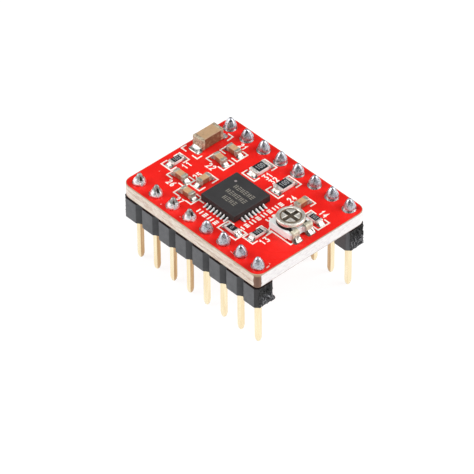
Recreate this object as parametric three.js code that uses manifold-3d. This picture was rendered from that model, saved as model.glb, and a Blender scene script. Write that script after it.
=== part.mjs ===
// Stepper driver module: a small red carrier board on two rows of header pins, with a driver
// chip, chip capacitors and resistors, and a trimmer that sets the motor current.
// Millimetres, +Z up. The origin is the centre of the pin grid at the height of the pin tips.
// +X runs along the pin rows and +Y runs across the board, from the near row to the far row.
import * as THREE from 'three';
import { mergeVertices } from 'three/addons/utils/BufferGeometryUtils.js';
import Module from 'manifold-3d';

const wasm = await Module();
wasm.setup();

// Pin grid
const PITCH = 2.54;
const PINS_PER_ROW = 8;
const ROW_Y = 6.35;
const PIN_SIDE = 0.6;
const PIN_BELOW = 5.7;
const PIN_ABOVE = 3.0;
const PIN_TIP_SIDE = 0.3;
const PIN_LONG_TAPER = 0.5;
const PIN_SHORT_TAPER = 0.3;

// Header housings, one snapped-off strip of eight blocks for each row, soldered a little proud of
// the board
const HOUSING_HEIGHT = 2.54;
const HOUSING_GAP = 0.3;
const HOUSING_CHAMFER = 0.48;

// Circuit board
const BOARD_LENGTH = PITCH * PINS_PER_ROW;
const BOARD_WIDTH = 15.24;
const BOARD_THICKNESS = 1.6;
const BOARD_CORNER = 1.0;
const BOARD_HOLE_RADIUS = 0.5;

// Clearance between pieces that touch on the real module, and the solder under a chip part
const GAP = 0.02;
const STANDOFF = 0.04;

// Heights above the pin tips
const HOUSING_BOTTOM = PIN_BELOW;
const HOUSING_TOP = HOUSING_BOTTOM + HOUSING_HEIGHT;
const BOARD_BOTTOM = HOUSING_TOP + HOUSING_GAP;
const BOARD_TOP = BOARD_BOTTOM + BOARD_THICKNESS;
const PIN_TOP = BOARD_BOTTOM + PIN_ABOVE;

// Solder joint: a cone around the pin and a plug in the plated hole. The cone's profile is in
// radius and height above the board.
const SOLDER_PLUG_RADIUS = BOARD_HOLE_RADIUS - GAP;
const SOLDER_PLUG_DEPTH = 1.55;
const SOLDER_CONE = [[0.67, 0.02], [0.66, 0.2], [0.6, 0.45], [0.53, 0.7], [0.47, 1.0]];

// Driver chip: a square leadless package with its die pad in the underside
const CHIP = { x: 0.08, y: -1.2, side: 5.0, height: 0.85 };
const CHIP_POCKET = { side: 3.2, depth: 0.55 };
const DIE_PAD = { side: 3.1, thickness: 0.2 };
const DIE = { side: 2.4, thickness: 0.25 };

// Trimmer: substrate, resistive track, three clipped terminals, and a rotor with its wiper
const TRIMMER = { x: 6.97, y: 0.0, length: 3.3, width: 3.15, height: 0.72, lift: 0.2 };
const SUBSTRATE_HOLE_RADIUS = 0.5;
const SHAFT_RADIUS = 0.45;
const SHAFT_BOTTOM = 0.25;
const TRACK = { inner: 0.8, outer: 1.5, thickness: 0.03, halfGap: THREE.MathUtils.degToRad(40) };
const ROTOR = { radius: 1.53, bottom: 1.38, top: 1.7, edge: 0.08 };
const CROSS_SLOT = { length: 2.1, width: 0.5, depth: 0.16 };
const WIPER = {
  innerRadius: 0.5,
  ringRadius: 0.72,
  reach: 1.2,
  footLength: 0.3,
  width: 0.34,
  thickness: 0.1,
};
const TRACK_TOP = TRIMMER.lift + TRIMMER.height + GAP / 2 + TRACK.thickness;
const TERMINAL = { thickness: 0.12, width: 0.9, foot: 0.4, topLeg: 0.38, underLeg: 0.5, offset: 0.92 };

// Chip parts: length is along the part, which lies along X when turn is 0
const CAP_SIZE = { length: 1.58, width: 0.72, height: 0.68, end: 0.33, swell: 0.02 };
const BULK_CAP_SIZE = { length: 3.05, width: 1.44, height: 1.4, end: 0.5, swell: 0.03 };
const RESISTOR_SIZE = { length: 1.6, width: 0.78, height: 0.42, end: 0.28, swell: 0.015 };
const SENSE_SIZE = { length: 2.0, width: 1.22, height: 0.5, end: 0.36, swell: 0.015 };

const CHIP_PARTS = [
  { name: 'bulk_capacitor', size: BULK_CAP_SIZE, x: -8.68, y: 3.07, turn: 90, look: 'ceramic' },
  { name: 'capacitor_1', size: CAP_SIZE, x: -5.63, y: 3.87, turn: 0, look: 'ceramic' },
  { name: 'capacitor_2', size: CAP_SIZE, x: -5.6, y: 1.9, turn: -5, look: 'ceramic' },
  { name: 'capacitor_3', size: CAP_SIZE, x: -6.44, y: -2.84, turn: 0, look: 'ceramic' },
  { name: 'capacitor_4', size: CAP_SIZE, x: -4.32, y: -1.57, turn: 90, look: 'ceramic' },
  { name: 'capacitor_5', size: CAP_SIZE, x: -3.9, y: -4.15, turn: 0, look: 'ceramic' },
  { name: 'capacitor_6', size: CAP_SIZE, x: 5.26, y: 3.14, turn: 90, look: 'ceramic' },
  { name: 'resistor_1', size: RESISTOR_SIZE, x: -8.65, y: -1.45, turn: 90, look: 'resistor' },
  { name: 'resistor_2', size: RESISTOR_SIZE, x: 3.2, y: -4.58, turn: 0, look: 'resistor' },
  { name: 'resistor_3', size: RESISTOR_SIZE, x: 5.48, y: -3.16, turn: 90, look: 'resistor' },
  { name: 'resistor_4', size: RESISTOR_SIZE, x: 7.78, y: 2.58, turn: 0, look: 'resistor' },
  { name: 'sense_resistor_1', size: SENSE_SIZE, x: -1.73, y: 3.92, turn: 90, look: 'resistor' },
  { name: 'sense_resistor_2', size: SENSE_SIZE, x: 1.92, y: 3.86, turn: 90, look: 'resistor' },
];

// Facets
const ROUND_SEGMENTS = 16;
const ROTOR_SEGMENTS = 32;
const CORNER_SEGMENTS = 6;

// How close two vertices have to be to count as one, and how far a cutting tool runs past a cut
const WELD_TOLERANCE = 1e-4;
const CUT_MARGIN = 1;

const LOOKS = {
  board: { color: 0xd81a12, roughness: 0.35, metalness: 0.0 },
  housing: { color: 0x1d1d1f, roughness: 0.6, metalness: 0.0 },
  pin: { color: 0xd9c088, roughness: 0.3, metalness: 1.0 },
  solder: { color: 0xb9bcbe, roughness: 0.3, metalness: 1.0 },
  moulding: { color: 0x3c3a3b, roughness: 0.7, metalness: 0.0 },
  copper: { color: 0xb87333, roughness: 0.4, metalness: 1.0 },
  silicon: { color: 0x50545c, roughness: 0.2, metalness: 0.5 },
  ceramic: { color: 0xb08f66, roughness: 0.5, metalness: 0.0 },
  resistor: { color: 0x141414, roughness: 0.5, metalness: 0.0 },
  substrate: { color: 0xf2f0ea, roughness: 0.5, metalness: 0.0 },
  track: { color: 0x1a1a1a, roughness: 0.7, metalness: 0.0 },
  rotor: { color: 0xb9b3a4, roughness: 0.4, metalness: 1.0 },
  terminal: { color: 0xc4c6c8, roughness: 0.35, metalness: 1.0 },
};

const group = new THREE.Group();

// A named mesh with its own material, placed in the module
function addPiece(name, look, geometry, x = 0, y = 0, z = 0, turn = 0) {
  const mesh = new THREE.Mesh(geometry, new THREE.MeshStandardMaterial(LOOKS[look]));
  mesh.name = name;
  mesh.position.set(x, y, z);
  mesh.rotation.z = THREE.MathUtils.degToRad(turn);
  group.add(mesh);
}

// The geometry with shared vertices and without the flat triangles at a lathe's poles
function welded(geometry) {
  const bare = geometry.clone();
  bare.deleteAttribute('normal');
  bare.deleteAttribute('uv');
  const merged = mergeVertices(bare, WELD_TOLERANCE);
  const index = merged.index.array;
  const kept = [];
  for (let i = 0; i < index.length; i += 3) {
    const [a, b, c] = [index[i], index[i + 1], index[i + 2]];
    if (a !== b && b !== c && c !== a) {
      kept.push(a, b, c);
    }
  }
  merged.setIndex(kept);
  return merged;
}

function toSolid(geometry) {
  const closed = welded(geometry);
  const mesh = new wasm.Mesh({
    numProp: 3,
    vertProperties: new Float32Array(closed.attributes.position.array),
    triVerts: new Uint32Array(closed.index.array),
  });
  return new wasm.Manifold(mesh);
}

function toGeometry(solid) {
  const mesh = solid.getMesh();
  const geometry = new THREE.BufferGeometry();
  geometry.setAttribute('position', new THREE.BufferAttribute(mesh.vertProperties, 3));
  geometry.setIndex(new THREE.BufferAttribute(mesh.triVerts, 1));
  return geometry;
}

// A box from its centre in plan and its lowest and highest z
function block(sizeX, sizeY, low, high, x = 0, y = 0) {
  const geometry = new THREE.BoxGeometry(sizeX, sizeY, high - low);
  return geometry.translate(x, y, (low + high) / 2);
}

// A solid of revolution about Z. The profile is [radius, z] from bottom to top.
function turned(profile, segments, start = 0) {
  const points = profile.map(([radius, z]) => new THREE.Vector2(radius, z));
  return welded(new THREE.LatheGeometry(points, segments, start)).rotateX(Math.PI / 2);
}

// A square bar about Z. The profile is [side, z] from bottom to top.
function squareBar(profile) {
  const corners = profile.map(([side, z]) => [side * Math.SQRT1_2, z]);
  const low = [0, profile[0][1]];
  const high = [0, profile.at(-1)[1]];
  return turned([low, ...corners, high], 4, Math.PI / 4);
}

function prism(shape, low, high, curveSegments = CORNER_SEGMENTS) {
  const geometry = new THREE.ExtrudeGeometry(shape, {
    depth: high - low,
    bevelEnabled: false,
    curveSegments,
  });
  return geometry.translate(0, 0, low);
}

function pinX(index) {
  return (index - (PINS_PER_ROW - 1) / 2) * PITCH;
}

function boardGeometry() {
  const halfLength = BOARD_LENGTH / 2;
  const halfWidth = BOARD_WIDTH / 2;
  const insideX = halfLength - BOARD_CORNER;
  const insideY = halfWidth - BOARD_CORNER;
  const quarter = Math.PI / 2;
  const outline = new THREE.Shape();
  outline.absarc(insideX, insideY, BOARD_CORNER, 0, quarter);
  outline.absarc(-insideX, insideY, BOARD_CORNER, quarter, 2 * quarter);
  outline.absarc(-insideX, -insideY, BOARD_CORNER, 2 * quarter, 3 * quarter);
  outline.absarc(insideX, -insideY, BOARD_CORNER, 3 * quarter, 4 * quarter);
  outline.closePath();
  for (const y of [-ROW_Y, ROW_Y]) {
    for (let i = 0; i < PINS_PER_ROW; i += 1) {
      const hole = new THREE.Path();
      hole.absarc(pinX(i), y, BOARD_HOLE_RADIUS, 0, 2 * Math.PI);
      outline.holes.push(hole);
    }
  }
  return prism(outline, BOARD_BOTTOM, BOARD_TOP);
}

// Eight blocks in a line, octagonal in plan, each with a square hole for its pin
function housingGeometry() {
  const half = PITCH / 2;
  const waist = half - HOUSING_CHAMFER;
  const side = [];
  for (let i = 0; i < PINS_PER_ROW; i += 1) {
    side.push([pinX(i) - waist, half], [pinX(i) + waist, half], [pinX(i) + half, waist]);
  }
  const first = [pinX(0) - half, waist];
  const far = [first, ...side];
  const near = far.map(([x, y]) => [-x, -y]);
  const outline = new THREE.Shape([...far, ...near].map(([x, y]) => new THREE.Vector2(x, y)));
  const holeSide = PIN_SIDE + 2 * GAP;
  let strip = toSolid(prism(outline, HOUSING_BOTTOM, HOUSING_TOP));
  for (let i = 0; i < PINS_PER_ROW; i += 1) {
    strip = strip.subtract(toSolid(block(holeSide, holeSide, 0, BOARD_TOP, pinX(i))));
  }
  return toGeometry(strip);
}

function pinGeometry() {
  return squareBar([
    [PIN_TIP_SIDE, 0],
    [PIN_SIDE, PIN_LONG_TAPER],
    [PIN_SIDE, PIN_TOP - PIN_SHORT_TAPER],
    [PIN_TIP_SIDE, PIN_TOP],
  ]);
}

function solderGeometry() {
  const cone = SOLDER_CONE.map(([radius, height]) => [radius, BOARD_TOP + height]);
  const plugBottom = BOARD_TOP - SOLDER_PLUG_DEPTH;
  const profile = [
    [0, plugBottom],
    [SOLDER_PLUG_RADIUS, plugBottom],
    [SOLDER_PLUG_RADIUS, cone[0][1]],
    ...cone,
    [0, cone.at(-1)[1]],
  ];
  const side = PIN_SIDE + 2 * GAP;
  const bore = block(side, side, BOARD_BOTTOM - CUT_MARGIN, PIN_TOP + CUT_MARGIN);
  return toGeometry(toSolid(turned(profile, ROUND_SEGMENTS)).subtract(toSolid(bore)));
}

function addHeaders() {
  for (const [row, y] of [['near', -ROW_Y], ['far', ROW_Y]]) {
    addPiece(`header_housing_${row}`, 'housing', housingGeometry(), 0, y);
    for (let i = 0; i < PINS_PER_ROW; i += 1) {
      addPiece(`pin_${row}_${i + 1}`, 'pin', pinGeometry(), pinX(i), y);
      addPiece(`solder_${row}_${i + 1}`, 'solder', solderGeometry(), pinX(i), y);
    }
  }
}

// The package's underside has a pocket that holds the die pad, with the die on top of it
function addDriverChip() {
  const top = STANDOFF + CHIP.height;
  const body = toSolid(block(CHIP.side, CHIP.side, STANDOFF, top));
  const pocket = block(CHIP_POCKET.side, CHIP_POCKET.side, -CUT_MARGIN, STANDOFF + CHIP_POCKET.depth);
  const moulding = toGeometry(body.subtract(toSolid(pocket)));
  const pad = block(DIE_PAD.side, DIE_PAD.side, STANDOFF, STANDOFF + DIE_PAD.thickness);
  const dieBottom = STANDOFF + DIE_PAD.thickness + GAP;
  const die = block(DIE.side, DIE.side, dieBottom, dieBottom + DIE.thickness);
  addPiece('driver_chip_moulding', 'moulding', moulding, CHIP.x, CHIP.y, BOARD_TOP);
  addPiece('driver_chip_die_pad', 'copper', pad, CHIP.x, CHIP.y, BOARD_TOP);
  addPiece('driver_chip_die', 'silicon', die, CHIP.x, CHIP.y, BOARD_TOP);
}

// A chip part on the board: a body with slightly thicker metal ends
function chipPartGeometry(size) {
  const low = STANDOFF + size.swell;
  const middle = block(size.length - size.end, size.width, low, low + size.height);
  const endX = (size.length - size.end) / 2;
  const endWidth = size.width + 2 * size.swell;
  const endTop = low + size.height + size.swell;
  const left = block(size.end, endWidth, STANDOFF, endTop, -endX);
  const right = block(size.end, endWidth, STANDOFF, endTop, endX);
  return toGeometry(toSolid(middle).add(toSolid(left)).add(toSolid(right)));
}

function addChipParts() {
  for (const { name, size, x, y, turn, look } of CHIP_PARTS) {
    addPiece(name, look, chipPartGeometry(size), x, y, BOARD_TOP, turn);
  }
}

function substrateGeometry() {
  const low = TRIMMER.lift;
  const high = low + TRIMMER.height;
  const halfLength = TRIMMER.length / 2;
  const halfWidth = TRIMMER.width / 2;
  const outline = new THREE.Shape();
  outline.moveTo(-halfLength, -halfWidth);
  outline.lineTo(halfLength, -halfWidth);
  outline.lineTo(halfLength, halfWidth);
  outline.lineTo(-halfLength, halfWidth);
  outline.closePath();
  const hole = new THREE.Path();
  hole.absarc(0, 0, SUBSTRATE_HOLE_RADIUS, 0, 2 * Math.PI);
  outline.holes.push(hole);
  return prism(outline, low, high, ROUND_SEGMENTS / 2);
}

// The resistive film, a ring with a gap towards +X between the two end terminals
function trackGeometry() {
  const { inner, outer, halfGap, thickness } = TRACK;
  const outline = new THREE.Shape();
  outline.absarc(0, 0, outer, halfGap, 2 * Math.PI - halfGap);
  outline.absarc(0, 0, inner, 2 * Math.PI - halfGap, halfGap, true);
  outline.closePath();
  return prism(outline, TRACK_TOP - thickness, TRACK_TOP, ROUND_SEGMENTS / 2);
}

// The rotor: a disc with a cross slot, on a shaft that turns in the substrate
function rotorGeometry() {
  const { radius, bottom, top, edge } = ROTOR;
  const profile = [
    [0, SHAFT_BOTTOM],
    [SHAFT_RADIUS, SHAFT_BOTTOM],
    [SHAFT_RADIUS, bottom],
    [radius - edge, bottom],
    [radius, bottom + edge],
    [radius, top - edge],
    [radius - edge, top],
    [0, top],
  ];
  const { length, width, depth } = CROSS_SLOT;
  const alongX = toSolid(block(length, width, top - depth, top + CUT_MARGIN));
  const alongY = toSolid(block(width, length, top - depth, top + CUT_MARGIN));
  const disc = toSolid(turned(profile, ROTOR_SEGMENTS));
  return toGeometry(disc.subtract(alongX.add(alongY)));
}

// The wiper: a ring under the disc with an arm that dips to the track on the -X side
function wiperGeometry() {
  const high = ROTOR.bottom - GAP;
  const low = high - WIPER.thickness;
  const ring = new THREE.Shape();
  ring.absarc(0, 0, WIPER.ringRadius, 0, 2 * Math.PI);
  const hole = new THREE.Path();
  hole.absarc(0, 0, WIPER.innerRadius, 0, 2 * Math.PI);
  ring.holes.push(hole);
  const armLength = WIPER.reach - WIPER.innerRadius - GAP;
  const armX = -(WIPER.reach - armLength / 2);
  const arm = block(armLength, WIPER.width, low, high, armX);
  const { footLength } = WIPER;
  const foot = block(footLength, WIPER.width, TRACK_TOP + GAP, high, -(WIPER.reach - footLength / 2));
  const plate = toSolid(prism(ring, low, high, ROUND_SEGMENTS / 2));
  return toGeometry(plate.add(toSolid(arm)).add(toSolid(foot)));
}

// A terminal that clips over the substrate's +X edge and has a foot on the board
function terminalGeometry() {
  const { thickness, width, foot, topLeg, underLeg } = TERMINAL;
  const edge = TRIMMER.length / 2 + GAP;
  const footLow = TRIMMER.lift - GAP - thickness;
  const top = TRACK_TOP + GAP + thickness;
  const outline = [
    [edge + foot, footLow],
    [edge + foot, footLow + thickness],
    [edge + thickness, footLow + thickness],
    [edge + thickness, top],
    [edge - topLeg, top],
    [edge - topLeg, top - thickness],
    [edge, top - thickness],
    [edge, footLow + thickness],
    [edge - underLeg, footLow + thickness],
    [edge - underLeg, footLow],
  ];
  const shape = new THREE.Shape(outline.map(([x, z]) => new THREE.Vector2(x, z)));
  return prism(shape, -width / 2, width / 2).rotateX(Math.PI / 2);
}

function addTrimmer() {
  const { x, y } = TRIMMER;
  addPiece('trimmer_substrate', 'substrate', substrateGeometry(), x, y, BOARD_TOP);
  addPiece('trimmer_track', 'track', trackGeometry(), x, y, BOARD_TOP);
  addPiece('trimmer_rotor', 'rotor', rotorGeometry(), x, y, BOARD_TOP);
  addPiece('trimmer_wiper', 'terminal', wiperGeometry(), x, y, BOARD_TOP);
  const { offset } = TERMINAL;
  addPiece('trimmer_terminal_1', 'terminal', terminalGeometry(), x, y - offset, BOARD_TOP);
  addPiece('trimmer_terminal_2', 'terminal', terminalGeometry(), x, y + offset, BOARD_TOP);
  addPiece('trimmer_terminal_3', 'terminal', terminalGeometry(), x, y, BOARD_TOP, 180);
}

addPiece('circuit_board', 'board', boardGeometry());
addHeaders();
addDriverChip();
addChipParts();
addTrimmer();

export default group;
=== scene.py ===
"""Looks of the stepper driver module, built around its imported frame.

Lengths are in millimetres here and become metres when a mesh is made. The origin is the centre
of the pin grid at the height of the pin tips. +X runs along the pin rows and +Y goes from the
near row to the far row.
"""

import math
import random

import bmesh
import bpy
from mathutils import Matrix, Vector, noise


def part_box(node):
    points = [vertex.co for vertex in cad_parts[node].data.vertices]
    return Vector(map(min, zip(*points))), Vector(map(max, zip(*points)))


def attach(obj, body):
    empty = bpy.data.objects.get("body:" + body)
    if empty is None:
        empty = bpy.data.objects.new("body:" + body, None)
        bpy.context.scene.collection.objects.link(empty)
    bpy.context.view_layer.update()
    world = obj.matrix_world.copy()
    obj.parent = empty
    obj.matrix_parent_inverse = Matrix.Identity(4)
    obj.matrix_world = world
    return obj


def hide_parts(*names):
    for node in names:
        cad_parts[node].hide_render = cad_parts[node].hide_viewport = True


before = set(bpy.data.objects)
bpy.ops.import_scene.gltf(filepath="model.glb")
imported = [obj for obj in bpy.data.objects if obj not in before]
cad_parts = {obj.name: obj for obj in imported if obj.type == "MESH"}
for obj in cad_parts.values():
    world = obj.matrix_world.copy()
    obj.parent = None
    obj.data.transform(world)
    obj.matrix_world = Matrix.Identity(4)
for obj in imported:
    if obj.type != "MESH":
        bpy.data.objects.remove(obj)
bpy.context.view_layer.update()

MM = 0.001
ROWS = ("near", "far")
PINS_PER_ROW = 8
PITCH = 2.54
MODULE = "module"
ROTOR = "rotor"


def box_of(node):
    """The lowest and highest corners of a CAD node in millimetres."""
    low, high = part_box(node)
    return low / MM, high / MM


def centre_of(node):
    low, high = box_of(node)
    return (low + high) / 2


BOARD_LOW, BOARD_HIGH = box_of("circuit_board")
BOARD_BOTTOM = BOARD_LOW.z
BOARD_TOP = BOARD_HIGH.z

# ---------------------------------------------------------------------------- mesh tools


def rounded(part, edges, bevel, segments):
    """The part with some of its edges rounded."""
    bmesh.ops.bevel(
        part, geom=edges, offset=bevel, segments=segments, profile=0.5, affect="EDGES"
    )
    return part


def block(size, bevel, segments):
    """A box about the origin with rounded edges."""
    part = bmesh.new()
    bmesh.ops.create_cube(part, size=1.0)
    bmesh.ops.scale(part, vec=size, verts=part.verts)
    return rounded(part, part.edges[:], bevel, segments)


def moved(part, offset, turn=0.0):
    """The part turned about Z by degrees, then moved."""
    spin = Matrix.Rotation(math.radians(turn), 3, "Z")
    bmesh.ops.rotate(part, cent=(0, 0, 0), matrix=spin, verts=part.verts)
    bmesh.ops.translate(part, vec=offset, verts=part.verts)
    return part


def swung(part, reach, centre, turn):
    """The part moved by reach, then turned about Z by degrees, then moved to centre in plan."""
    return moved(moved(part, reach), (centre.x, centre.y, 0), turn)


def skin(rings):
    """A closed surface over rings of points, lowest first, all with the same count."""
    part = bmesh.new()
    loops = [[part.verts.new(point) for point in ring] for ring in rings]
    for lower, upper in zip(loops, loops[1:]):
        count = len(lower)
        for i in range(count):
            j = (i + 1) % count
            part.faces.new((lower[i], lower[j], upper[j], upper[i]))
    part.faces.new(list(reversed(loops[0])))
    part.faces.new(loops[-1])
    return part


def prism(outline, low, high, bevel=0.0, segments=2):
    """An upright prism, with its top and bottom rims rounded by bevel."""
    part = skin([[(x, y, low) for x, y in outline], [(x, y, high) for x, y in outline]])
    if bevel:
        rims = [e for e in part.edges if abs(e.verts[0].co.z - e.verts[1].co.z) < 1e-6]
        rounded(part, rims, bevel, segments)
    return part


def height_field(points, floor):
    """A closed solid under a grid of points, down to a flat floor."""
    part = bmesh.new()
    grid = [[part.verts.new(point) for point in row] for row in points]
    for one, two in zip(grid, grid[1:]):
        for i in range(len(one) - 1):
            part.faces.new((one[i], one[i + 1], two[i + 1], two[i]))
    rim = list(grid[0])
    rim += [row[-1] for row in grid[1:]]
    rim += list(reversed(grid[-1][:-1]))
    rim += [row[0] for row in reversed(grid[1:-1])]
    base = [part.verts.new((v.co.x, v.co.y, floor)) for v in rim]
    for i in range(len(rim)):
        j = (i + 1) % len(rim)
        part.faces.new((rim[j], rim[i], base[i], base[j]))
    part.faces.new(base)
    return part


def ribbon(points, width, low, high, closed=False):
    """A raised flat stroke along points, with rounded ends unless it is closed."""
    path = [Vector(point[:2]) for point in points]
    half = width / 2
    count = len(path)
    stations = []
    for i, point in enumerate(path):
        ways = []
        if closed or i > 0:
            ways.append((point - path[i - 1]).normalized())
        if closed or i < count - 1:
            ways.append((path[(i + 1) % count] - point).normalized())
        mean = sum(ways, Vector((0, 0))).normalized()
        side = Vector((-mean.y, mean.x))
        stretch = 1 / max(0.5, mean.dot(ways[0]))
        stations.append((point, side * half * stretch, mean))
    if not closed:
        first, last = stations[0], stations[-1]
        for reach, narrow in ((0.5, 0.87), (0.87, 0.5)):
            before = (first[0] - first[2] * half * reach, first[1] * narrow, first[2])
            after = (last[0] + last[2] * half * reach, last[1] * narrow, last[2])
            stations = [before, *stations, after]
    part = bmesh.new()
    loops = []
    for point, side, _ in stations:
        left, right = point + side, point - side
        corners = ((left, low), (left, high), (right, high), (right, low))
        loops.append([part.verts.new((p.x, p.y, z)) for p, z in corners])
    joins = list(zip(loops, loops[1:]))
    if closed:
        joins.append((loops[-1], loops[0]))
    for one, two in joins:
        for i in range(4):
            j = (i + 1) % 4
            part.faces.new((one[i], one[j], two[j], two[i]))
    if not closed:
        part.faces.new(list(reversed(loops[0])))
        part.faces.new(loops[-1])
    return part


def arc(x, y, radius, start, end, steps=8):
    """Points along an arc, in degrees."""
    points = []
    for i in range(steps + 1):
        angle = math.radians(start + (end - start) * i / steps)
        points.append((x + radius * math.cos(angle), y + radius * math.sin(angle)))
    return points


# A rectangle's corners: the signs of x and y, and the angle in degrees where the corner's arc starts
CORNERS = ((1, 1, 0), (-1, 1, 90), (-1, -1, 180), (1, -1, 270))


def rounded_outline(half_x, half_y, radius, steps):
    """A rounded rectangle's outline about the origin."""
    points = []
    for side_x, side_y, start in CORNERS:
        centre_x = side_x * (half_x - radius)
        centre_y = side_y * (half_y - radius)
        points += arc(centre_x, centre_y, radius, start, start + 90, steps)
    return points


def weigh_normals(obj):
    obj.modifiers.new("weighted_normals", "WEIGHTED_NORMAL").keep_sharp = True


def merged(parts):
    """One part from several."""
    whole = bmesh.new()
    for part in parts:
        mesh = bpy.data.meshes.new("part")
        part.to_mesh(mesh)
        part.free()
        whole.from_mesh(mesh)
        bpy.data.meshes.remove(mesh)
    return whole


def piece(name, parts, nodes=(), body=MODULE, sharp=35.0, rides=True, split=None):
    """An object from (part, material) pairs, which rides on a body and replaces CAD nodes.

    split, if given, picks another material for a face, or None to keep the part's own.
    """
    mesh = bpy.data.meshes.new(name)
    materials = []
    for part, material in parts:
        if material not in materials:
            materials.append(material)
            mesh.materials.append(material)
        bmesh.ops.recalc_face_normals(part, faces=part.faces[:])
        for face in part.faces:
            look = (split and split(material, face)) or material
            if look not in materials:
                materials.append(look)
                mesh.materials.append(look)
            face.material_index = materials.index(look)
            face.smooth = True
        for edge in part.edges:
            edge.smooth = edge.calc_face_angle(0.0) < math.radians(sharp)
    whole = merged([part for part, _ in parts])
    bmesh.ops.scale(whole, vec=(MM, MM, MM), verts=whole.verts)
    whole.to_mesh(mesh)
    whole.free()
    obj = bpy.data.objects.new(name, mesh)
    bpy.context.scene.collection.objects.link(obj)
    if not rides:
        return obj
    weigh_normals(obj)
    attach(obj, body)
    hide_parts(*nodes)
    return obj


def cut(obj, cutter):
    """Cuts the cutter's shape out of the object's mesh, and removes the cutter."""
    carve = obj.modifiers.new("cut", "BOOLEAN")
    carve.operation = "DIFFERENCE"
    carve.solver = "EXACT"
    carve.material_mode = "TRANSFER"
    carve.object = cutter
    obj.modifiers.remove(obj.modifiers["weighted_normals"])
    bpy.context.view_layer.update()
    graph = bpy.context.evaluated_depsgraph_get()
    mesh = bpy.data.meshes.new_from_object(obj.evaluated_get(graph))
    obj.modifiers.clear()
    old = obj.data
    name = old.name
    obj.data = mesh
    bpy.data.meshes.remove(old)
    mesh.name = name
    weigh_normals(obj)
    bpy.data.objects.remove(cutter)


# ---------------------------------------------------------------------------- material tools

RELIEF = 0.01 * MM


def connect(made, node, inputs):
    """Links each input that is another node's socket, and sets every other one as a value."""
    for name, value in inputs.items():
        if isinstance(value, bpy.types.NodeSocket):
            made.node_tree.links.new(value, node.inputs[name])
        else:
            node.inputs[name].default_value = value


def add_node(made, kind, inputs):
    node = made.node_tree.nodes.new(f"ShaderNode{kind}")
    connect(made, node, inputs)
    return node


def shader_of(made):
    return made.node_tree.nodes["Principled BSDF"]


def material(name, color, roughness, metallic=0.0):
    made = bpy.data.materials.new(name)
    made.use_nodes = True
    inputs = {"Base Color": (*color, 1.0), "Roughness": roughness, "Metallic": metallic}
    connect(made, shader_of(made), inputs)
    return made


def shade(color, factor):
    return tuple(min(1.0, value * factor) for value in color)


def coordinates(made, stretch=(1, 1, 1)):
    """The object's own coordinates in millimetres, multiplied by stretch."""
    own = add_node(made, "TexCoord", {}).outputs["Object"]
    scale = [value / MM for value in stretch]
    return add_node(made, "Mapping", {"Vector": own, "Scale": scale}).outputs["Vector"]


def grain(made, vector, scale, detail=3.0, roughness=0.5, distortion=0.0):
    node = add_node(made, "TexNoise", {"Vector": vector, "Scale": scale, "Detail": detail})
    connect(made, node, {"Roughness": roughness, "Distortion": distortion})
    return node.outputs["Fac"]


def ramp(made, value, stops):
    """Colours at positions from 0 to 1."""
    node = add_node(made, "ValToRGB", {"Fac": value})
    elements = node.color_ramp.elements
    while len(elements) < len(stops):
        elements.new(0.5)
    for element, (position, color) in zip(elements, stops):
        element.position = position
        element.color = (*color, 1.0)
    return node.outputs["Color"]


def mixed(made, one, two, factor):
    """Two colours or colour sockets, mixed by a factor."""
    node = add_node(made, "Mix", {})
    node.data_type = "RGBA"
    first, second = [(*look, 1.0) if isinstance(look, tuple) else look for look in (one, two)]
    connect(made, node, {6: first, 7: second, 0: factor})
    return node.outputs[2]


def ranged(made, value, low, high, start=0.0, end=1.0):
    """A value mapped from the range low to high to the range start to end."""
    inputs = {"Value": value, "From Min": low, "From Max": high, "To Min": start, "To Max": end}
    return add_node(made, "MapRange", inputs).outputs["Result"]


def combined(made, operation, *values):
    node = add_node(made, "Math", dict(enumerate(values)))
    node.operation = operation
    return node.outputs["Value"]


def coordinate(made, axis):
    """One of the object's own coordinates, in millimetres."""
    return add_node(made, "SeparateXYZ", {"Vector": coordinates(made)}).outputs[axis]


def facing(made, axis):
    """How far the surface looks along an axis, from -1 to 1."""
    normal = add_node(made, "NewGeometry", {}).outputs["Normal"]
    return add_node(made, "SeparateXYZ", {"Vector": normal}).outputs[axis]


def surfaced(made, color, heights, strength, roughness=None):
    """The material with its colour, its relief and its roughness linked to the shader.

    Relief comes from one or more heights, each with its full range as a multiple of RELIEF.
    """
    inputs = {"Base Color": color}
    if roughness:
        inputs["Roughness"] = roughness
    for height, depth in heights:
        relief = {"Strength": strength, "Distance": depth * RELIEF, "Height": height}
        if "Normal" in inputs:
            relief["Normal"] = inputs["Normal"]
        inputs["Normal"] = add_node(made, "Bump", relief).outputs["Normal"]
    connect(made, shader_of(made), inputs)
    return made


# ---------------------------------------------------------------------------- materials


def make_mask():
    """Red solder mask over copper, slightly uneven and glossy."""
    made = material("solder_mask", (0.86, 0.011, 0.007), 0.36)
    connect(made, shader_of(made), {"Specular IOR Level": 0.35})
    where = coordinates(made)
    patches = grain(made, where, 0.35)
    specks = grain(made, where, 9.0, 2.0)
    color = ramp(made, patches, [(0.3, (0.8, 0.01, 0.006)), (0.7, (0.92, 0.014, 0.008))])
    specked = mixed(made, color, (0.66, 0.012, 0.008), ranged(made, specks, 0.6, 0.72, 0, 0.5))
    relief = [(grain(made, where, 2.2), 1.0), (grain(made, where, 14.0, 2.0), 0.25)]
    return surfaced(made, specked, relief, 0.5, ranged(made, patches, 0.3, 0.7, 0.28, 0.4))


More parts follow.
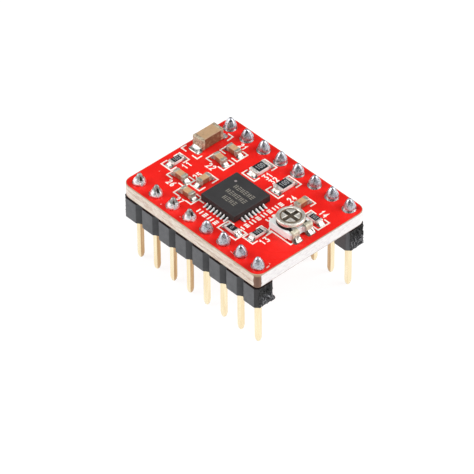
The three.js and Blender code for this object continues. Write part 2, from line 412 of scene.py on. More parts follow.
def make_laminate():
    """Bare glass laminate: weave streaks along its layers, a browner rounded near corner, and painted
    light on edges facing +X.
    """
    made = material("laminate", (0.8, 0.72, 0.6), 0.7)
    streaks = grain(made, coordinates(made, (0.6, 0.6, 3.0)), 1.0, 3.0, 0.55, 0.2)
    weave = grain(made, coordinates(made, (2.2, 2.2, 6.0)), 1.0, 3.0, 0.6)
    creams = [(0.34, (0.52, 0.38, 0.31)), (0.46, (0.65, 0.52, 0.42))]
    creams += [(0.56, (0.75, 0.65, 0.55)), (0.68, (0.64, 0.48, 0.44))]
    color = ramp(made, streaks, creams)
    color = mixed(made, color, (0.9, 0.87, 0.82), ranged(made, weave, 0.46, 0.66, 0, 0.5))
    # Painted light: edges facing +X are painted paler and greyer.
    painted_light_edge = ramp(made, weave, [(0.36, (0.76, 0.74, 0.77)), (0.52, (0.88, 0.87, 0.88))])
    color = mixed(made, color, painted_light_edge, ranged(made, facing(made, "X"), 0.6, 0.9, 0, 0.8))
    across = combined(made, "SUBTRACT", coordinate(made, "X"), coordinate(made, "Y"))
    wavy = grain(made, coordinates(made), 2.2)
    uneven = combined(made, "MULTIPLY_ADD", wavy, 0.3, across)
    # The rounded near corner turns browner, with a wavy boundary.
    corner = BOARD_HIGH.x - BOARD_LOW.y
    corner_brown = ranged(made, uneven, corner - 0.47, corner - 0.36)
    color = mixed(made, color, (0.2, 0.1, 0.065), corner_brown)
    height = coordinate(made, "Z")
    upper = ranged(made, height, BOARD_TOP - 0.75, BOARD_TOP - 0.3, 0, 0.55)
    tinge = combined(made, "MULTIPLY", ranged(made, across, -1.8, -2.4), upper)
    color = mixed(made, color, (0.45, 0.44, 0.26), tinge)
    skin_line = ranged(made, height, BOARD_TOP - 0.2, BOARD_TOP - 0.08, 0, 0.85)
    color = mixed(made, color, (0.4, 0.27, 0.16), skin_line)
    low_line = ranged(made, height, BOARD_BOTTOM + 0.12, BOARD_BOTTOM + 0.04, 0, 0.85)
    color = mixed(made, color, (0.3, 0.2, 0.13), low_line)
    return surfaced(made, color, [(streaks, 2.0), (weave, 1.5)], 0.6)


def make_housing(name, color):
    """Black moulded plastic with a fine spark-eroded texture."""
    made = material(name, color, 0.5)
    where = coordinates(made)
    cloud = grain(made, where, 1.3)
    fine = grain(made, where, 22.0)
    clouded = ramp(made, cloud, [(0.3, shade(color, 0.85)), (0.7, shade(color, 1.18))])
    roughness = ranged(made, fine, 0.35, 0.65, 0.42, 0.6)
    return surfaced(made, clouded, [(fine, 0.9), (cloud, 2.0)], 0.8, roughness)


def make_broken():
    """The same plastic where it was snapped: dull and torn."""
    made = material("housing_broken", (0.05, 0.048, 0.055), 0.55)
    tears = grain(made, coordinates(made), 3.5, 5.0, 0.7, 0.6)
    scratches = grain(made, coordinates(made, (2.0, 7.0, 1.6)), 1.2, 4.0, 0.7)
    color = ramp(made, tears, [(0.38, (0.004, 0.004, 0.005)), (0.62, (0.07, 0.07, 0.078))])
    color = mixed(made, color, (0.46, 0.46, 0.48), ranged(made, scratches, 0.54, 0.62, 0, 0.9))
    shadow = ranged(made, coordinate(made, "Z"), BOARD_BOTTOM - 1.6, BOARD_BOTTOM - 1.1, 0, 0.93)
    color = mixed(made, color, (0.002, 0.002, 0.002), shadow)
    return surfaced(made, color, [(tears, 9.0), (scratches, 4.0)], 0.9)


def make_gold(name, low, middle, high):
    """Thin gold plate over drawn brass pins, with draw marks along them."""
    made = material(name, middle, 0.26, 1.0)
    marks = grain(made, coordinates(made, (4.0, 4.0, 0.3)), 1.0, 2.0, 0.4)
    clouds = grain(made, coordinates(made, (1, 1, 0.5)), 1.3)
    color = ramp(made, marks, [(0.3, low), (0.5, middle), (0.75, high)])
    color = mixed(made, color, low, ranged(made, clouds, 0.56, 0.72, 0, 0.35))
    roughness = ranged(made, marks, 0.3, 0.7, 0.32, 0.24)
    return surfaced(made, color, [(marks, 0.5), (clouds, 2.0)], 0.5, roughness)


def make_solder(name, color, roughness, dull, steep_shade=0.0):
    """Frozen solder: bright metal with a frosted, wrinkled skin, and painted shade on its steep faces.
    """
    made = material(name, color, roughness, 1.0)
    where = coordinates(made)
    frost = grain(made, where, 6.0, 4.0, 0.6)
    wrinkle = grain(made, where, 2.4, 3.0, 0.6, 0.4)
    frosted = ramp(made, frost, [(0.33, shade(color, 1 - dull * 3)), (0.55, color)])
    # Painted shade: steep faces are mixed towards dark brown.
    steep_shade_mask = ranged(made, facing(made, "Z"), 0.9, 0.6, 0, steep_shade)
    frosted = mixed(made, frosted, (0.16, 0.13, 0.1), steep_shade_mask)
    rough = ranged(made, frost, 0.3, 0.7, roughness - 0.1, roughness + 0.16)
    return surfaced(made, frosted, [(wrinkle, 4.0), (frost, 1.0)], 0.5, rough)


def make_epoxy(name, color):
    """Dark epoxy moulding with a fine matt grain."""
    made = material(name, color, 0.6)
    where = coordinates(made)
    fine = grain(made, where, 26.0)
    cloud = grain(made, where, 0.8)
    clouded = ramp(made, cloud, [(0.3, shade(color, 0.86)), (0.7, shade(color, 1.18))])
    roughness = ranged(made, fine, 0.35, 0.65, 0.46, 0.64)
    return surfaced(made, clouded, [(fine, 0.5)], 0.7, roughness)


def make_ceramic(name, top, side, node_top):
    """Fired ceramic: pale tan above, with painted shade browner down its sides, and faint layer lines.
    """
    made = material(name, top, 0.42)
    where = coordinates(made)
    cloud = grain(made, where, 2.6, 4.0)
    layers = grain(made, coordinates(made, (0.6, 0.6, 24.0)), 1.0, 2.0)
    speck = grain(made, where, 13.0)
    # Painted shade: below the top the colour turns to the shaded side colour.
    depth = ranged(made, coordinate(made, "Z"), node_top - 0.04, node_top - 0.16)
    color = mixed(made, top, side, depth)
    color = mixed(made, color, shade(top, 0.72), ranged(made, cloud, 0.5, 0.75, 0, 0.7))
    color = mixed(made, color, shade(side, 0.55), ranged(made, layers, 0.6, 0.75, 0, 0.4))
    color = mixed(made, color, (0.75, 0.66, 0.5), ranged(made, speck, 0.62, 0.75, 0, 0.5))
    roughness = ranged(made, cloud, 0.3, 0.7, 0.34, 0.5)
    return surfaced(made, color, [(cloud, 1.0), (speck, 0.4)], 0.6, roughness)


def make_plating(name, color, roughness, metallic, under):
    """Barrel-plated tin over fired silver, matt, mottled and thin in places."""
    made = material(name, color, roughness, metallic)
    where = coordinates(made)
    mottle = grain(made, where, 4.5, 4.0, 0.65)
    speck = grain(made, where, 15.0, 2.0)
    plated = ramp(made, mottle, [(0.36, under), (0.5, color), (0.7, shade(color, 1.35))])
    thin = ranged(made, grain(made, where, 1.8), 0.56, 0.68, 0, 0.6)
    rough = ranged(made, speck, 0.3, 0.7, roughness - 0.1, roughness + 0.18)
    plated = mixed(made, plated, under, thin)
    return surfaced(made, plated, [(mottle, 2.0), (speck, 0.6)], 0.6, rough)


def make_plain(name, color, roughness, variation, scale, depth=0.5, metallic=0.0):
    """A plain finish with a little mottling and fine relief."""
    made = material(name, color, roughness, metallic)
    where = coordinates(made)
    cloud = grain(made, where, scale, 4.0)
    fine = grain(made, where, scale * 5, 2.0)
    stops = [(0.32, shade(color, 1 - variation)), (0.68, shade(color, 1 + variation))]
    rough = ranged(made, fine, 0.3, 0.7, roughness - 0.06, roughness + 0.08)
    return surfaced(made, ramp(made, cloud, stops), [(cloud, 1.0), (fine, 0.4)], depth, rough)


def make_rotor_metal():
    """Stamped plated steel with fine turning and handling marks."""
    made = material("rotor_metal", (0.68, 0.64, 0.56), 0.4, 0.85)
    where = coordinates(made)
    marks = grain(made, where, 7.0, 5.0, 0.7)
    stains = grain(made, where, 2.2)
    stops = [(0.34, (0.5, 0.46, 0.38)), (0.52, (0.86, 0.82, 0.74)), (0.7, (0.95, 0.92, 0.86))]
    color = ramp(made, marks, stops)
    color = mixed(made, color, (0.66, 0.56, 0.43), ranged(made, stains, 0.55, 0.7, 0, 0.6))
    roughness = ranged(made, marks, 0.3, 0.7, 0.5, 0.3)
    return surfaced(made, color, [(marks, 2.2), (stains, 2.0)], 0.7, roughness)


MASK = make_mask()
LAMINATE = make_laminate()
HOUSING = make_housing("housing_plastic", (0.085, 0.087, 0.094))
# Painted shade for the chamfers and the far strip's inner side, darker still on the near strip's last
# chamfer.
HOUSING_SHADED = make_housing("housing_painted_shade", (0.05, 0.051, 0.056))
HOUSING_END_CHAMFER = make_housing("housing_end_chamfer", (0.018, 0.017, 0.019))
# Painted shadow on the housing's tops, under the board.
HOUSING_SHADOWED_TOP = make_housing("housing_top_painted_shadow", (0.004, 0.004, 0.005))
BROKEN = make_broken()
GOLD = make_gold("gold_plate", (0.9, 0.75, 0.48), (0.95, 0.82, 0.56), (1.0, 0.9, 0.66))
# Painted shade: a browner gold for some pin faces.
GOLD_SHADED = make_gold("gold_painted_shade", (0.5, 0.31, 0.15), (0.58, 0.38, 0.2), (0.7, 0.5, 0.29))
SOLDER = make_solder("solder", (0.6, 0.61, 0.66), 0.28, 0.2)
BRIGHT_SOLDER = make_solder("bright_solder", (0.9, 0.91, 0.92), 0.3, 0.08)
DULL_SOLDER = make_solder("dull_solder", (0.42, 0.44, 0.42), 0.34, 0.2)
# Painted shade for the groove of a starved joint.
SOLDER_GROOVE_SHADE = make_plain("solder_hollow", (0.06, 0.055, 0.05), 0.5, 0.4, 4.0, 1.0, 0.5)
SMALL_SOLDER = make_solder("small_solder", (0.74, 0.72, 0.68), 0.3, 0.24, 0.75)
# Painted shade: a near-black strip for the board beside the chip, between its pads.
PAD_GAP_SHADE = make_plain("pad_gap_painted_shade", (0.012, 0.006, 0.005), 0.75, 0.3, 6.0, 0.6)
PAD_TIN = make_plain("pad_tin", (0.98, 0.97, 0.95), 0.4, 0.04, 8.0, 0.4, 0.2)
EPOXY = make_epoxy("chip_epoxy", (0.028, 0.027, 0.028))
# Painted shade for the package's sides.
EPOXY_SHADED_SIDES = make_epoxy("chip_sides_painted_shade", (0.012, 0.009, 0.009))
PALE_FLECK = make_plain("pale_mask_fleck", (0.94, 0.5, 0.46), 0.5, 0.15, 9.0)
SILK = make_plain("silkscreen_ink", (0.97, 0.92, 0.84), 0.6, 0.05, 6.0)
MARKING = make_plain("laser_marking", (0.27, 0.25, 0.21), 0.7, 0.2, 12.0)
DOT = make_plain("orientation_mark", (0.3, 0.26, 0.26), 0.6, 0.15, 12.0)
TIN = make_plating("tin_ends", (0.5, 0.5, 0.42), 0.38, 0.55, (0.26, 0.22, 0.16))
RESISTOR_TIN = make_plating("resistor_tin", (0.78, 0.76, 0.72), 0.36, 0.5, (0.4, 0.37, 0.32))
RESISTOR_GLASS = make_plain("resistor_glass", (0.014, 0.014, 0.016), 0.28, 0.3, 5.0)
NUMERAL = make_plain("numeral_ink", (0.36, 0.37, 0.38), 0.5, 0.1, 9.0)
ALUMINA = make_plain("alumina", (0.88, 0.85, 0.82), 0.5, 0.05, 5.0)
SUBSTRATE = make_plain("trimmer_ceramic", (0.97, 1.0, 0.98), 0.5, 0.02, 3.0)
# Black resistive film, which also stands in for the shade under the rotor cap.
FILM = make_plain("resistive_film", (0.02, 0.018, 0.018), 0.5, 0.2, 6.0)
ROTOR_METAL = make_rotor_metal()
# Painted shade for the cross slot's recess.
ROTOR_SLOT_SHADE = make_plain("rotor_slot_painted_shade", (0.1, 0.08, 0.055), 0.6, 0.6, 5.0, 1.0, 0.2)
# Painted shade for the groove inside the rotor's rim.
ROTOR_GROOVE_SHADE = make_plain("rotor_groove_painted_shade", (0.18, 0.13, 0.08), 0.6, 0.5, 4.0, 1.0, 0.3)
# Painted highlight: a bright, pale metal for the raised lip.
ROTOR_LIP_HIGHLIGHT = make_plain("rotor_lip_painted_highlight", (0.93, 0.9, 0.84), 0.3, 0.08, 3.0, 0.2, 0.6)
TERMINAL_METAL = make_plain("terminal_metal", (0.58, 0.54, 0.42), 0.42, 0.3, 4.0, 0.8, 0.2)
COPPER = make_plain("copper", (0.72, 0.33, 0.2), 0.35, 0.15, 4.0, 0.5, 1.0)
SILICON = make_plain("silicon", (0.12, 0.13, 0.16), 0.15, 0.1, 3.0, 0.2, 0.6)

# ---------------------------------------------------------------------------- board

MASK_THICKNESS = 0.03
CORNER_RADIUS = 1.0
NEAR_CORNER_RADIUS = 0.5
NEAR_MASK_RADIUS = 1.1
LAMINATE_HOLE_RADIUS = 0.5
MASK_HOLE_RADIUS = 0.68
INK_TOP = BOARD_TOP + 0.016
INK_LOW = BOARD_TOP - 0.01
STROKE = 0.16


def board_outline(half_x, half_y, radius, near_radius):
    """The board in plan, with its own radius at the near corner of its +X end."""
    points = []
    for side_x, side_y, start in CORNERS:
        reach = near_radius if side_x > 0 > side_y else radius
        points += arc(side_x * (half_x - reach), side_y * (half_y - reach), reach, start, start + 90)
    return points


def make_board():
    half_x = (BOARD_HIGH.x - BOARD_LOW.x) / 2
    half_y = (BOARD_HIGH.y - BOARD_LOW.y) / 2
    core = prism(
        board_outline(half_x, half_y, CORNER_RADIUS, NEAR_CORNER_RADIUS),
        BOARD_BOTTOM + MASK_THICKNESS,
        BOARD_TOP - MASK_THICKNESS,
        0.03,
    )
    laminate = piece("board_laminate", [(core, LAMINATE)], ["circuit_board"])
    inset = 0.06
    radii = (CORNER_RADIUS - inset, NEAR_MASK_RADIUS)
    outline = board_outline(half_x - inset, half_y - inset, *radii)
    upper = prism(outline, BOARD_TOP - 2 * MASK_THICKNESS, BOARD_TOP, 0.025)
    lower = prism(outline, BOARD_BOTTOM, BOARD_BOTTOM + 2 * MASK_THICKNESS, 0.025)
    above = piece("solder_mask_top", [(upper, MASK)])
    below = piece("solder_mask_bottom", [(lower, MASK)])
    holes = ((laminate, LAMINATE_HOLE_RADIUS), (above, MASK_HOLE_RADIUS), (below, MASK_HOLE_RADIUS))
    for obj, radius in holes:
        drills = []
        for row in ROWS:
            for i in range(PINS_PER_ROW):
                centre = centre_of(f"pin_{row}_{i + 1}")
                ring = arc(centre.x, centre.y, radius, 0, 345, 23)
                drills.append(prism(ring, BOARD_BOTTOM - 1, BOARD_TOP + 1))
        cut(obj, piece("drills", [(merged(drills), SMALL_SOLDER)], rides=False))


make_board()


# Copper tracks under the mask, which show as low ridges. Each is a path of (x, y).
TOP_TRACKS = [
    [(-8.9, -5.4), (-8.9, -4.5), (-9.55, -3.8), (-9.55, 0.2), (-9.0, 0.8)],
    [(-6.35, -5.4), (-6.35, -4.9), (-7.6, -4.1)],
    [(-3.8, -5.5), (-3.4, -5.0), (-2.6, -5.0), (-1.4, -4.3)],
    [(-1.27, -5.5), (-0.9, -4.9), (-0.9, -4.3)],
    [(1.27, -5.5), (1.27, -4.9), (0.6, -4.3)],
    [(6.35, -5.5), (6.35, -4.9), (7.3, -4.0), (8.2, -4.0), (9.3, -2.9), (9.3, 3.6), (8.9, 4.2)],
    [(8.89, -5.5), (8.89, -4.9), (9.65, -4.1), (9.65, 4.6)],
    [(-8.9, 5.4), (-8.9, 4.9)],
    [(-6.35, 5.5), (-6.35, 4.9), (-7.2, 4.1), (-7.2, 0.6), (-5.6, -0.4), (-3.2, -0.4)],
    [(-3.8, 5.5), (-3.8, 2.7), (-2.9, 1.9), (-1.4, 1.9)],
    [(-1.27, 5.5), (-0.2, 4.9), (-0.2, 2.2)],
    [(1.27, 5.5), (0.5, 5.0), (0.5, 2.2)],
    [(3.8, 5.5), (3.8, 4.6), (4.3, 4.3), (4.3, 1.2), (3.2, 0.3)],
    [(6.35, 5.5), (6.35, 4.9), (6.9, 4.4)],
    [(8.89, 5.5), (8.89, 4.8)],
    [(3.0, 1.6), (3.2, 2.0), (3.2, 3.0)],
]
LAND_LEADS = (-8.89, -6.35, -3.81, 3.81, 6.35, 8.89)
BOTTOM_TRACKS = [[(x, -5.0), (x * 0.75, -3.9), (x * 0.45, -3.0)] for x in LAND_LEADS]
BOTTOM_TRACKS += [[(x, 5.0), (x * 0.7, 3.6), (x * 0.4, 2.2)] for x in LAND_LEADS]
BOTTOM_TRACKS += [
    [(-9.6, -4.2), (-9.6, 4.2)],
    [(9.6, -4.2), (9.6, 4.2)],
    [(-8.2, 0.0), (-5.0, 0.0), (-4.2, -0.6)],
    [(8.2, 0.4), (5.2, 0.4), (4.3, -0.4)],
]
VIAS = [
    (-9.55, 0.2), (-7.2, 0.6), (-3.2, -0.4), (-7.6, -4.1), (-4.75, -7.1), (-8.75, -3.7),
    (3.2, 3.0), (4.3, 1.2), (6.9, 4.4), (9.3, -0.6), (-0.2, 2.2), (0.5, 2.2), (-1.4, 1.9),
    (7.9, -4.9), (5.2, 5.2), (-4.9, 5.9), (-2.6, -5.0), (9.65, 4.6), (-6.2, 5.2), (2.9, 5.7),
]


def ring_part(x, y, inner, outer, low, high, steps=20):
    """A flat ring."""
    part = bmesh.new()
    loops = []
    for radius, z in ((inner, low), (outer, low), (outer, high), (inner, high)):
        loop = []
        for i in range(steps):
            angle = 2 * math.pi * i / steps
            point = (x + radius * math.cos(angle), y + radius * math.sin(angle), z)
            loop.append(part.verts.new(point))
        loops.append(loop)
    for one, two in zip(loops, [*loops[1:], loops[0]]):
        for i in range(steps):
            j = (i + 1) % steps
            part.faces.new((one[i], one[j], two[j], two[i]))
    return part


def make_copper_relief():
    low = BOARD_TOP - 0.02
    ridges = [(ribbon(path, 0.26, low, low + 0.03), MASK) for path in TOP_TRACKS]
    for x, y in VIAS:
        ridges.append((ring_part(x, y, 0.09, 0.26, low, BOARD_TOP + 0.014), MASK))
    piece("track_relief_top", ridges, sharp=80)
    low = BOARD_BOTTOM - 0.01
    ridges = [(ribbon(path, 0.4, low, low + 0.03), MASK) for path in BOTTOM_TRACKS]
    for x, y in VIAS:
        ridges.append((ring_part(x, -y if abs(y) > 5 else y, 0.09, 0.26, low, low + 0.03), MASK))
    piece("track_relief_bottom", ridges, sharp=80)


make_copper_relief()

# ---------------------------------------------------------------------------- silkscreen

DIGITS = {
    "0": [([(0, 0.3), (0, 1.3), (0.3, 1.6), (0.7, 1.6), (1, 1.3), (1, 0.3), (0.7, 0), (0.3, 0)], 1)],
    "1": [([(0.15, 1.25), (0.55, 1.6), (0.55, 0)], 0)],
    "2": [([(0, 1.3), (0.3, 1.6), (0.7, 1.6), (1, 1.3), (1, 1.0), (0, 0), (1, 0)], 0)],
    "3": [([(0, 1.6), (1, 1.6), (0.5, 0.95), (1, 0.6), (1, 0.3), (0.7, 0), (0, 0.1)], 0)],
    "4": [([(0.75, 0), (0.75, 1.6), (0, 0.5)], 0), ([(0.1, 0.5), (1, 0.5)], 0)],
    "5": [([(1, 1.6), (0.05, 1.6), (0, 0.9), (0.7, 0.95), (1, 0.65), (1, 0.3), (0.7, 0), (0, 0.1)], 0)],
    "6": [
        ([(0, 0.55), (0, 0.3), (0.3, 0), (0.7, 0), (1, 0.3), (1, 0.55), (0.7, 0.85), (0.3, 0.85)], 1),
        ([(0, 0.6), (0.2, 1.15), (0.8, 1.6)], 0),
    ],
    "7": [([(0, 1.6), (1, 1.6), (0.4, 0)], 0)],
    "8": [
        ([(0.5, 0.85), (0.1, 1.1), (0.1, 1.4), (0.4, 1.6), (0.6, 1.6), (0.9, 1.4), (0.9, 1.1)], 1),
        ([(0.5, 0.85), (0, 0.55), (0, 0.25), (0.3, 0), (0.7, 0), (1, 0.25), (1, 0.55)], 1),
    ],
}


def number_strokes(text, x, y, height, turn, width, low, high, slim=0.62):
    """The strokes of a number centred on x, y and turned by degrees."""
    unit = height / 1.6
    advance = unit * slim + width * 1.9
    start = -(len(text) - 1) * advance / 2 - unit * slim / 2
    spin = Matrix.Rotation(math.radians(turn), 2)
    parts = []
    for index, digit in enumerate(text):
        for points, closed in DIGITS[digit]:
            path = []
            for u, v in points:
                flat = Vector((start + index * advance + u * unit * slim, (v - 0.8) * unit))
                flat = spin @ flat
                path.append((x + flat.x, y + flat.y))
            parts.append(ribbon(path, width, low, high, bool(closed)))
    return parts


def layered(parts, look):
    """Strokes for one piece, each a hair above the last, so that crossings have no shared faces."""
    for index, part in enumerate(parts):
        for vert in part.verts:
            vert.co.z += 0.0006 * (index % 9)
    return [(part, look) for part in parts]


# The open sides' axis, the share of a side that each tick covers, and the outline's x0, x1, y0, y1
PART_OUTLINES = [
    ("y", 0.3, -6.9, -4.35, 3.1, 4.62),
    ("y", 0.3, -6.9, -4.3, 1.15, 2.65),
    ("x", 0.3, -9.45, -8.0, -2.8, -0.25),
    ("y", 0.3, -7.78, -5.15, -3.55, -2.1),
    ("x", 0.3, -5.1, -3.6, -2.85, -0.25),
    ("y", 0.3, -5.25, -2.62, -4.9, -3.4),
    ("x", 0.26, 4.5, 5.95, 1.85, 4.45),
    ("x", 0.22, -2.65, -0.85, 2.25, 5.45),
    ("x", 0.22, 0.97, 2.8, 2.2, 5.45),
    ("y", 0.3, 1.85, 4.5, -5.35, -3.85),
    ("x", 0.26, 4.72, 6.15, -4.5, -1.95),
    ("y", 0.26, 6.45, 9.12, 1.78, 3.35),
]
SILK_LINES = []
for open_axis, share, x0, x1, y0, y1 in PART_OUTLINES:
    if open_axis == "x":
        tick = (y1 - y0) * share
        SILK_LINES.append([(x0, y0 + tick), (x0, y0), (x1, y0), (x1, y0 + tick)])
        SILK_LINES.append([(x0, y1 - tick), (x0, y1), (x1, y1), (x1, y1 - tick)])
    else:
        tick = (x1 - x0) * share
        SILK_LINES.append([(x0 + tick, y0), (x0, y0), (x0, y1), (x0 + tick, y1)])
        SILK_LINES.append([(x1 - tick, y0), (x1, y0), (x1, y1), (x1 - tick, y1)])
SILK_LINES += [
    [(-9.9, 1.05), (-9.9, 0.42), (-9.2, 0.42)],
    [(-8.2, 0.42), (-7.5, 0.42), (-7.5, 1.05)],
    [(-8.2, 5.5), (-7.55, 5.5), (-7.5, 4.7)],
    [(-9.2, 5.5), (-9.88, 5.5), (-9.88, 4.7)],
    [(5.95, -1.78), (8.85, -1.78), (8.85, -1.45)],
    [(5.95, -1.78), (6.15, -2.5)],
    [(5.35, -1.3), (5.7, -1.85)],
    [(-2.55, -3.82), (-1.9, -3.82)],
]

# Each number with its x, y, height and turn in degrees
SILK_NUMBERS = [
    ("21", -5.65, 5.18, 0.62, 0),
    ("22", -5.6, 0.62, 0.72, 0),
    ("11", -7.48, -1.05, 0.7, 90),
    ("26", -6.5, -4.1, 0.66, 0),
    ("25", -5.5, -1.35, 0.62, 90),
    ("27", -3.95, -5.3, 0.64, 0),
    ("24", 3.82, 3.15, 0.66, 90),
    ("31", -0.5, 3.8, 0.74, 90),
    ("32", 0.46, 3.8, 0.66, 90),
    ("13", 6.6, -3.3, 0.72, 90),
    ("14", 7.75, 3.9, 0.66, 0),
]

# Where the real board carries names, this one has plain bars of about the same weight: x, y,
# length, height and turn in degrees
SILK_BARS = [
    (3.68, -0.9, 6.2, 0.62, 90),
    (4.52, -0.35, 1.2, 0.5, 90),
    (-0.05, -4.98, 2.7, 0.62, 0),
]


def bar_row(x, y, length, height, turn, width, low, high):
    """Plain upright and level bars in a row about x, y, turned by degrees."""
    spin = Matrix.Rotation(math.radians(turn), 2)
    marks = []
    along = -length / 2
    half = height / 2 - width / 2
    count = 0
    while along < length / 2:
        if count % 3 == 2:
            step = height * 0.5
            for level in (-half, 0, half):
                marks.append(((along, level), (along + step, level)))
            along += step
        else:
            marks.append(((along, -half), (along, half)))
        along += width * 2.5
        count += 1
    parts = []
    for ends in marks:
        path = []
        for u, v in ends:
            flat = spin @ Vector((u, v))
            path.append((x + flat.x, y + flat.y))
        parts.append(ribbon(path, width, low, high))
    return parts


def make_silkscreen():
    lines = [ribbon(line, STROKE, INK_LOW, INK_TOP) for line in SILK_LINES]
    piece("silk_outlines", layered(lines, SILK), sharp=50)
    numbers = []
    for text, x, y, height, turn in SILK_NUMBERS:
        numbers += number_strokes(text, x, y, height, turn, 0.15, INK_LOW, INK_TOP)
    piece("silk_numbers", layered(numbers, SILK), sharp=50)
    bars = []
    for x, y, length, height, turn in SILK_BARS:
        bars += bar_row(x, y, length, height, turn, 0.17, INK_LOW, INK_TOP)
    piece("silk_bars", layered(bars, SILK), sharp=50)


make_silkscreen()

# Small pale flecks on the mask, as x, y, length, width and turn in degrees
FLECKS = [
    (-4.7, -7.1, 0.22, 0.13, 20),
    (-8.7, -3.75, 0.2, 0.13, 60),
    (9.72, -5.75, 0.5, 0.17, 100),
    (9.5, -5.3, 0.2, 0.1, 40),
    (-1.95, -7.0, 0.16, 0.1, 10),
    (5.6, -6.9, 0.5, 0.06, 170),
    (0.1, 6.9, 0.22, 0.1, 130),
    (6.1, -2.35, 0.26, 0.07, 50),
    (9.2, 2.6, 0.16, 0.1, 0),
]


def make_flecks():
    marks = []
    for x, y, length, width, turn in FLECKS:
        ring = [(u * length / width, v) for u, v in arc(0, 0, width / 2, 0, 330, 11)]
        mark = prism(ring, BOARD_TOP - 0.01, BOARD_TOP + 0.008)
        marks.append((moved(mark, (x, y, 0), turn), PALE_FLECK))
    piece("mask_flecks", marks, sharp=50)


make_flecks()

# ---------------------------------------------------------------------------- underside


def make_underside():
    """The bottom of the board: a thermal land with vias, pin numbers and a frame."""
    low = BOARD_BOTTOM - 0.016
    high = BOARD_BOTTOM + 0.01
    chip = centre_of("driver_chip_moulding")
    land = prism(rounded_outline(1.9, 1.9, 0.2, 4), low, high, 0.006)
    parts = [(moved(land, (chip.x, chip.y, 0)), SMALL_SOLDER)]
    for i in range(4):
        for j in range(4):
            x = chip.x + (i - 1.5) * 0.9
            y = chip.y + (j - 1.5) * 0.9
            parts.append((ring_part(x, y, 0.12, 0.24, low - 0.012, high), SMALL_SOLDER))
    piece("thermal_land", parts)
    ink = []
    for row, y in (("near", -4.35), ("far", 4.35)):
        for i in range(PINS_PER_ROW):
            x = centre_of(f"pin_{row}_{i + 1}").x
            for stroke in number_strokes(str(i + 1), x, y, 0.8, 0, 0.14, low, high):
                for vert in stroke.verts:
                    vert.co.x = 2 * x - vert.co.x
                ink.append((stroke, SILK))
    ink.append((ribbon([(-4.6, -2.9), (-4.6, 3.3), (-3.9, 3.3)], STROKE, low, high), SILK))
    ink.append((ribbon([(4.7, -2.9), (4.7, 3.3), (4.0, 3.3)], STROKE, low, high), SILK))
    piece("silk_underside", ink, sharp=50)


make_underside()

# ---------------------------------------------------------------------------- headers

BLOCK_HALF = PITCH / 2
BLOCK_WAIST = BLOCK_HALF - 0.48
STRIP_END = PITCH * PINS_PER_ROW / 2
END_INSET = 0.12


def housing_outline():
    """One strip of eight blocks in plan, about the row's centre line, with softened edges."""
    soft = 0.04
    far = [(END_INSET - STRIP_END, BLOCK_WAIST + END_INSET)]
    for i in range(PINS_PER_ROW):
        x = (i - (PINS_PER_ROW - 1) / 2) * PITCH
        if i > 0:
            far.append((x - BLOCK_HALF, BLOCK_WAIST))
        far.append((x - BLOCK_WAIST - soft, BLOCK_HALF - soft))
        far.append((x - BLOCK_WAIST + soft, BLOCK_HALF))
        far.append((x + BLOCK_WAIST - soft, BLOCK_HALF))
        far.append((x + BLOCK_WAIST + soft, BLOCK_HALF - soft))
    far.append((STRIP_END - END_INSET, BLOCK_WAIST + END_INSET))
    near = [(-x, -y) for x, y in far]
    return far + near


def torn_end(side, seed, low, high, stub_size):
    """A snapped-off end: a torn patch, with a stub of plastic standing out at one edge."""
    rows = 36
    points = []
    for i in range(rows + 1):
        u = 2 * i / rows - 1
        line = []
        for j in range(rows + 1):
            v = 2 * j / rows - 1
            spot = Vector((u * 2.2 + seed, v * 2.8, side * 4.0 + seed))
            torn = noise.fractal(spot, 0.6, 2.1, 6)
            stub = stub_size * math.exp(-(((u - 0.95) / 0.26) ** 2) - ((v + 0.66) / 0.17) ** 2)
            rim = max(abs(u), abs(v)) ** 6
            out = min(0.3, max(0.02, 0.13 + 0.36 * torn)) * (1 - 0.7 * rim) + 0.14 * stub
            wander = 0.05 * noise.noise(spot * 1.7) * rim
            across = u * (BLOCK_WAIST + END_INSET) + wander + 0.2 * stub
            up = (low + high) / 2 + v * (high - low) / 2 + wander
            line.append((across, up, out))
        points.append(line)
    patch = height_field(points, -0.5)
    for vert in patch.verts:
        across, up, out = vert.co
        vert.co = (side * (STRIP_END - END_INSET + out), across, up)
    return patch


def strip_faces(row):
    """Painted shadow on the tops under the board, and painted shade on the chamfers.

    The near strip's last chamfer, by the break, is darker still. The far strip's inner side carries
    painted shade.
    """

    def pick(look, face):
        if look != HOUSING:
            return None
        if face.normal.z > 0.3:
            return HOUSING_SHADOWED_TOP
        if row == "far":
            return HOUSING_SHADED if face.normal.y < -0.8 else None
        if abs(face.normal.x) < 0.3:
            return None
        at_end = abs(face.calc_center_median().x) > STRIP_END - 0.5
        return HOUSING_END_CHAMFER if at_end else HOUSING_SHADED

    return pick


def make_housing_strip(row, seed):
    low, high = box_of(f"header_housing_{row}")
    row_y = (low.y + high.y) / 2
    strip = prism(housing_outline(), low.z, high.z, 0.06, 3)
    parts = [(moved(strip, (0, row_y, 0)), HOUSING)]
    for side in (-1, 1):
        end = torn_end(side, seed, low.z, high.z, 1.0 if row == "near" else 0.15)
        parts.append((moved(end, (0, row_y, 0)), BROKEN))
    nodes = [f"header_housing_{row}"]
    piece(f"housing_strip_{row}", parts, nodes, sharp=50, split=strip_faces(row))


make_housing_strip("near", 1.3)
make_housing_strip("far", 7.9)


def pin_faces(row, index):
    """Painted shade: browner faces across the row on pins 1 to 4, and inwards on most of the far row.
    """

    def pick(look, face):
        if row == "near":
            return GOLD_SHADED if index <= 4 and abs(face.normal.x) > 0.8 else None
        return GOLD_SHADED if index <= 7 and face.normal.y < -0.8 else None

    return pick


